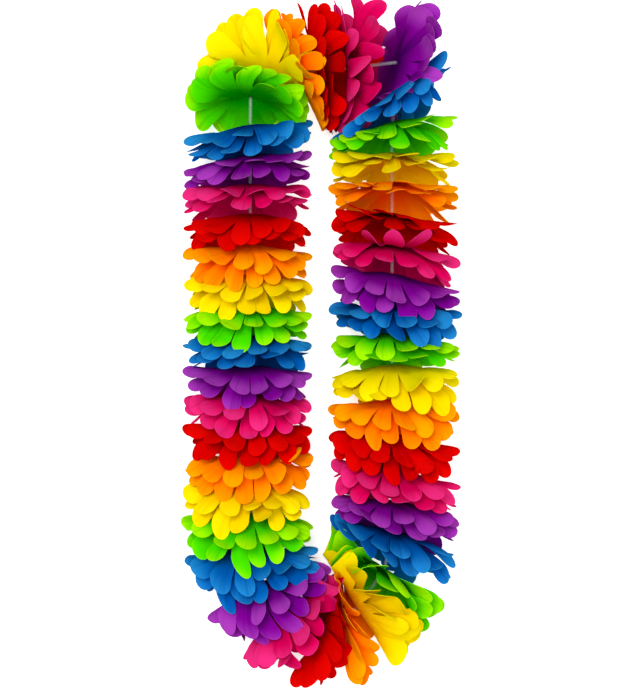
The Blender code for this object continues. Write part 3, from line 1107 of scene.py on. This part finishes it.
    def shaped(self, mesh: Mesh) -> None:
        """Bends a flat bloom's mesh and sets it on the string.

        Args:
            mesh: The mesh of the flat cloth, which is changed.
        """
        flat = read_vectors(mesh)
        names = ("tilt", "curl", "twist", "sway", "cup", "size")
        chances = {name: read_attribute(mesh, name) for name in names}
        petal = np.rint(read_attribute(mesh, "petal")).astype(int)
        which = np.rint(read_attribute(mesh, "layer")).astype(int)
        spots = np.empty_like(flat)
        raised = np.empty(len(flat))
        for layer in Layer:
            mine = which == layer.value
            chosen = {name: values[mine] for name, values in chances.items()}
            spots[mine], raised[mine] = self.layer_spots(layer, flat[mine], petal[mine], chosen)
        mesh.vertices.foreach_set("co", spots.ravel())
        mesh.update()
        normals = np.empty(len(flat) * 3)
        mesh.vertex_normals.foreach_get("vector", normals)
        outward = self.outward_sign(mesh)
        # Painted shade: each petal's random tone is lowered on the lower layer and raised on the upper.
        tones_and_shade = read_attribute(mesh, "tone_and_shade") + self.layer_shade * (1 - 2 * which)
        mesh.attributes["tone_and_shade"].data.foreach_set("value", tones_and_shade)
        spots += normals.reshape(-1, 3) * (raised * outward)[:, None]
        clearance = self.floor_gap + self.upper_gap * (1 - which) + self.odd_gap * (self.number % 2)
        spots[:, 2] = self.settled(spots[:, 2], clearance)
        mesh.vertices.foreach_set("co", spots.ravel())
        mesh.update()

    def settled(self, height: np.ndarray, least: np.ndarray) -> np.ndarray:
        """Lays what would be under the floor on it, with a soft bend.

        Args:
            height: Each spot's height.
            least: The least height of each spot.

        Returns:
            The heights once settled.
        """
        return least + self.floor_softness * np.logaddexp(0, (height - least) / self.floor_softness)

    def outward_sign(self, mesh: Mesh) -> float:
        """Says whether the mesh's normals point away from the bell's mouth: 1 if they do, or -1."""
        first = mesh.polygons[0]
        towards = self.loop.point(np.array([self.number - 0.1 * self.side, self.number]), 0.0, 0.0)
        return math.copysign(1, first.normal @ Vector(towards[0] - towards[1]))

    def layer_spots(
        self, layer: Layer, flat: np.ndarray, petal: np.ndarray, chances: dict[str, np.ndarray]
    ) -> tuple[np.ndarray, np.ndarray]:
        """Finds where the spots of one layer lie, and how far each is then raised off the cloth.

        Args:
            layer: The layer.
            flat: The spots on the flat cloth.
            petal: The petal that each spot belongs to.
            chances: What each petal got by chance, from -1 to 1.

        Returns:
            The spots on the string, and how far each is raised.
        """
        from_string = np.hypot(flat[:, 0], flat[:, 1])
        around = np.arctan2(flat[:, 1], flat[:, 0])
        blade = np.clip((from_string - self.slit_foot) / (self.petal_length - self.slit_foot), 0, 1)
        opened = np.sqrt(blade)
        sizes = np.zeros(PETALS)
        sizes[petal] = chances["size"]
        distance = from_string - blade * (self.petal_length - self.lengths(layer, sizes)[petal])
        bends = [BENT_PETALS.get((self.number, layer, index), Bend()) for index in range(PETALS)]
        lift, curl, twist = (
            np.array([getattr(bend, name) for bend in bends])[petal]
            for name in ("lift_mm", "curl_mm", "twist_deg")
        )
        middle = self.petal_angle(layer) + petal * PETAL_STEP
        beside = np.mod(around - petal * PETAL_STEP + math.pi, 2 * math.pi) - math.pi
        sideways = from_string * beside
        wildness = self.habit.wildness
        turned = middle + wildness * self.most_sway * chances["sway"] * blade
        twisting = (self.twist(layer, turned, chances) + np.radians(twist)) * opened
        curling = wildness * self.most_curl * (chances["curl"] - self.curl_shift) * blade**3
        tilting = wildness * self.most_tilt * chances["tilt"] * blade
        stacked = self.overlap * np.where(petal % 2, 1, -1) * opened
        bending = -MM * (lift * blade + curl * blade**3)
        more = stacked + tilting + curling
        slant = sideways * np.sin(twisting) + bending
        reach = self.bent(layer, distance, turned + beside, more, slant)[1]
        widened = (distance / np.maximum(reach, self.least_reach * distance)) ** self.keeping
        filling = 1 + self.back_filling * np.clip(-2 * np.sin(middle), 0, 1)
        kept = 1 + (filling * widened * np.cos(twisting) - 1) * opened
        hang, reach, combed = self.bent(layer, distance, turned + beside * kept, more, slant)
        nearness = np.clip(distance / self.hub_reach, self.hub_closeness, 1)
        offset = self.layer_offset if layer is Layer.LOWER else -self.layer_offset
        hang = hang + self.side * offset * nearness
        outwards, upwards = reach * np.cos(combed), reach * np.sin(combed)
        spots = self.loop.point(self.number + hang / self.loop.pitch, outwards, upwards)
        facing = self.loop.facing(self.number)
        ahead = np.array([-math.sin(facing), math.cos(facing), 0.0])
        unbent = self.loop.point(np.full(len(hang), self.number), outwards, upwards) + hang[:, None] * ahead
        spots += self.habit.straight * (unbent - spots)
        bulge = self.bulge_middle - (sideways / self.half_width) ** 2
        cup = self.cupping * (self.cup_least + self.cup_chance * chances["cup"])
        return spots, cup * bulge * opened * (1 - self.cup_fading * blade)

    def twist(self, layer: Layer, turned: np.ndarray, chances: dict[str, np.ndarray]) -> np.ndarray:
        """Says how far each petal is twisted: by chance, and towards the side that it shows to the sky.

        Args:
            layer: The layer.
            turned: Each petal's angle round the string.
            chances: What each petal got by chance, from -1 to 1.

        Returns:
            Each petal's twist.
        """
        by_chance = self.most_twist * (chances["twist"] ** 3 + self.twist_from_cup * chances["cup"])
        hidden = np.clip(-2 * np.sin(turned), 0, 1)
        if self.habit.showing is None:
            raised = self.showing_middle + self.showing_gain * np.sin(turned)
            showing = np.clip(raised, self.showing_least, 1)
            showing *= np.tanh(1 + self.habit.hang(turned, layer) / self.showing_hang)
        else:
            showing = self.habit.showing
        wild = self.habit.wildness * by_chance * (1 - self.hidden_calm * hidden)
        return wild + self.shingle * np.cos(turned) * showing

    def build(self, tree: NodeTree, cloth: Material) -> Object:
        """Makes the finished bloom.

        Args:
            tree: The geometry tree that cuts the flat cloth.
            cloth: The bloom's material.

        Returns:
            The bloom's object.
        """
        carrier = placed("carrier", bpy.data.meshes.new("carrier"))
        mesh = apply_tree(tree, carrier, {"Seed": self.number, "Cloth": cloth})
        self.shaped(mesh)
        sheet = placed("cloth", mesh)
        walls = sheet.modifiers.new("cloth thickness", "SOLIDIFY")
        walls.thickness = self.thickness
        walls.offset = 0.0
        thick = made_plain(sheet)
        thick.shade_smooth()
        thick.set_sharp_from_angle(angle=self.sharp_edge)
        for name in ("petal", "layer", "tilt", "curl", "twist", "sway", "cup", "size"):
            thick.attributes.remove(thick.attributes[name])
        thick.name = f"cloth_bloom_{self.number:02d}"
        return placed(thick.name, thick)


@dataclass
class Threading:
    """The string, and a hollow straw on it between every two blooms."""

    loop: StringLoop
    string_radius: float = 0.00045
    straw_radius: float = 0.0013
    straw_wall: float = 0.0002
    setback: float = 0.0012
    sides: int = 16
    string_sides: int = 8
    sharp_edge: float = math.radians(40)

    def route(self) -> Object:
        """Lays the string's route through the blooms as a closed curve.

        Returns:
            The curve's object.
        """
        curve = bpy.data.curves.new("route", "CURVE")
        curve.dimensions = "3D"
        spline = curve.splines.new("POLY")
        spline.points.add(BLOOMS - 1)
        hubs = self.loop.point(np.arange(1.0, BLOOMS + 1), 0.0, 0.0)
        spline.points.foreach_set("co", np.column_stack([hubs, np.ones(BLOOMS)]).ravel())
        spline.use_cyclic_u = True
        return placed("route", curve)

    def tree(self) -> NodeTree:
        """Builds the geometry tree of the string and the straws.

        Returns:
            The tree.
        """
        tree = group_with(
            "string and straws",
            "Geometry",
            {
                "Geometry": "Geometry",
                "String Radius": self.string_radius,
                "Straw Radius": self.straw_radius,
                "Straw Wall": self.straw_wall,
                "Setback": self.setback,
                "Sides": self.sides,
                "Plastic": "Material",
            },
            {"Geometry": "Geometry"},
        )
        wiring = Wiring(tree)
        given = wiring.node("NodeGroupInput").outputs
        section = {"Resolution": self.string_sides, "Radius": given["String Radius"]}
        round_string = wiring.node("GeometryNodeCurvePrimitiveCircle", section)
        string = wiring.node(
            "GeometryNodeCurveToMesh", {"Curve": given["Geometry"], "Profile Curve": round_string.outputs[0]}
        )
        spans = wiring.node("GeometryNodeCurveToMesh", {"Curve": given["Geometry"]})
        ends = wiring.node("GeometryNodeInputMeshEdgeVertices")
        heading = wiring.vectors("SUBTRACT", {0: ends.outputs["Position 2"], 1: ends.outputs["Position 1"]})
        kept = wiring.node("GeometryNodeCaptureAttribute", {"Geometry": spans.outputs[0]}, domain="EDGE")
        kept.capture_items.new("VECTOR", "Heading")
        wiring.feed(kept.inputs["Heading"], heading.outputs[0])
        middles = wiring.node("GeometryNodeMeshToPoints", {"Mesh": kept.outputs["Geometry"]}, mode="EDGES")
        length = wiring.vectors("LENGTH", {0: kept.outputs["Heading"]})
        setbacks = wiring.math("MULTIPLY", given["Setback"], 2.0)
        straw_length = wiring.math("SUBTRACT", length.outputs["Value"], setbacks)
        stretch = wiring.node("ShaderNodeCombineXYZ", {0: 1.0, 1: 1.0, 2: straw_length})
        aligned = wiring.node("FunctionNodeAlignEulerToVector", {"Vector": kept.outputs["Heading"]}, axis="Z")
        straws = wiring.node(
            "GeometryNodeInstanceOnPoints",
            {
                "Points": middles.outputs[0],
                "Instance": self.straw(wiring, given),
                "Rotation": aligned.outputs[0],
                "Scale": stretch.outputs[0],
            },
        )
        real = wiring.node("GeometryNodeRealizeInstances", {0: straws.outputs[0]})
        join = wiring.node("GeometryNodeJoinGeometry")
        wiring.feed(join.inputs[0], string.outputs[0])
        wiring.feed(join.inputs[0], real.outputs[0])
        dressed = wiring.node(
            "GeometryNodeSetMaterial", {"Geometry": join.outputs[0], "Material": given["Plastic"]}
        )
        wiring.node("NodeGroupOutput", {0: dressed.outputs[0]})
        return tree

    @staticmethod
    def straw(wiring: Wiring, given: bpy.types.bpy_prop_collection) -> NodeSocket:
        """Makes a hollow straw of unit length along Z: a thin wall swept round a circle.

        Args:
            wiring: The tree's wiring.
            given: The tree's inputs.

        Returns:
            The straw's geometry.
        """
        half_wall = wiring.math("MULTIPLY", given["Straw Wall"], 0.5)
        middle = wiring.math("SUBTRACT", given["Straw Radius"], half_wall)
        circle = wiring.node(
            "GeometryNodeCurvePrimitiveCircle", {"Resolution": given["Sides"], "Radius": middle}
        )
        section = {"Width": given["Straw Wall"], "Height": 1.0}
        wall = wiring.node("GeometryNodeCurvePrimitiveQuadrilateral", section)
        return wiring.node(
            "GeometryNodeCurveToMesh", {"Curve": circle.outputs[0], "Profile Curve": wall.outputs[0]}
        ).outputs[0]

    def build(self, plastic: Material) -> Object:
        """Makes the finished string with its straws.

        Args:
            plastic: The material.

        Returns:
            The object.
        """
        mesh = apply_tree(self.tree(), self.route(), {"Plastic": plastic})
        self.turn_outwards(mesh)
        mesh.shade_smooth()
        mesh.set_sharp_from_angle(angle=self.sharp_edge)
        mesh.name = "string_and_straws"
        return placed(mesh.name, mesh)

    @staticmethod
    def turn_outwards(mesh: Mesh) -> None:
        """Makes every closed shell of a mesh face outwards."""
        shells = bmesh.new()
        shells.from_mesh(mesh)
        bmesh.ops.recalc_face_normals(shells, faces=shells.faces)
        shells.to_mesh(mesh)
        shells.free()


@dataclass
class Studio:
    """The floor, the lights and the camera, which looks straight down as the photograph does."""

    middle: tuple[float, float] = (-0.0007, -0.0258)
    view_height: float = 1.2
    view_long_side: float = 0.4954
    floor_size: float = 6.0
    floor_white: float = 0.9
    floor_roughness: float = 0.9
    floor_gloss: float = 0.1
    floor_glow: float = 0.60
    sky: float = 0.24
    key_watts: float = 41.0
    fill_share: float = 0.5

    def build(self, loop: StringLoop) -> None:
        """Sets the studio up.

        Args:
            loop: The string, which the camera is set over.
        """
        self.floor()
        self.lights()
        self.camera(loop)
        world = bpy.data.worlds.new("soft white room")
        world.use_nodes = True
        background = world.node_tree.nodes["Background"]
        background.inputs["Color"].default_value = (1.0, 1.0, 1.0, 1.0)
        background.inputs["Strength"].default_value = self.sky
        bpy.context.scene.world = world
        bpy.context.scene.view_settings.view_transform = "Standard"

    def floor(self) -> None:
        """Lays the plain pale floor."""
        half = self.floor_size / 2
        mesh = bpy.data.meshes.new("floor")
        corners = [(-half, -half, 0), (half, -half, 0), (half, half, 0), (-half, half, 0)]
        mesh.from_pydata(corners, [], [(0, 1, 2, 3)])
        material, _, shader = Wardrobe.plain("pale_floor")
        shader.inputs["Base Color"].default_value = (*[self.floor_white] * 3, 1.0)
        shader.inputs["Roughness"].default_value = self.floor_roughness
        shader.inputs["Specular IOR Level"].default_value = self.floor_gloss
        shader.inputs["Emission Color"].default_value = (1.0, 1.0, 1.0, 1.0)
        shader.inputs["Emission Strength"].default_value = self.floor_glow
        mesh.materials.append(material)
        floor = placed("floor", mesh)

    def lights(self) -> None:
        """Hangs the wide soft lamps."""
        for name, place, size, watts in (
            ("key", (-0.40, 0.45, 2.1), 1.1, self.key_watts),
            ("fill", (0.6, -0.4, 2.0), 1.2, self.key_watts * self.fill_share),
        ):
            lamp = bpy.data.lights.new(name, "AREA")
            lamp.shape = "DISK"
            lamp.size = size
            lamp.energy = watts
            thing = placed(name, lamp)
            thing.location = place
            thing.rotation_euler = (-Vector(place)).to_track_quat("-Z", "Y").to_euler()

    def camera(self, loop: StringLoop) -> None:
        """Hangs the camera straight over the lei.

        Args:
            loop: The string.
        """
        camera = bpy.data.cameras.new("camera")
        camera.sensor_fit = "AUTO"
        camera.lens = camera.sensor_width * self.view_height / self.view_long_side
        thing = placed("camera", camera)
        thing.location = (self.middle[0], self.middle[1] - loop.part_middle, loop.height + self.view_height)
        bpy.context.scene.camera = thing


def main() -> None:
    """Builds the lei, piece by piece, and the studio round it."""
    logging.basicConfig(level=logging.INFO, format="%(name)s: %(message)s")
    effects = Effects()
    wardrobe = Wardrobe(effects)
    loop = StringLoop()
    cut = FlatBloom().tree()
    dyes = [dye.value for dye in Dye]
    cloths = [wardrobe.cloth(finish) for finish in dyes]
    for number in range(1, BLOOMS + 1):
        colour = (number - 1) % len(dyes)
        piece = Bloom(loop, number).build(cut, cloths[colour])
        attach(piece, "root")
        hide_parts(f"bloom_{number:02d}")
        log.info("%s in %s, %d faces", piece.name, dyes[colour].slot, len(piece.data.polygons))
    plastic = StrawFinish()
    string = Threading(loop).build(wardrobe.straw(plastic))
    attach(string, "root")
    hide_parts("string_with_straws")
    log.info("%s, %d faces", string.name, len(string.data.polygons))
    Studio().build(loop)


if __name__ == "__main__":
    main()
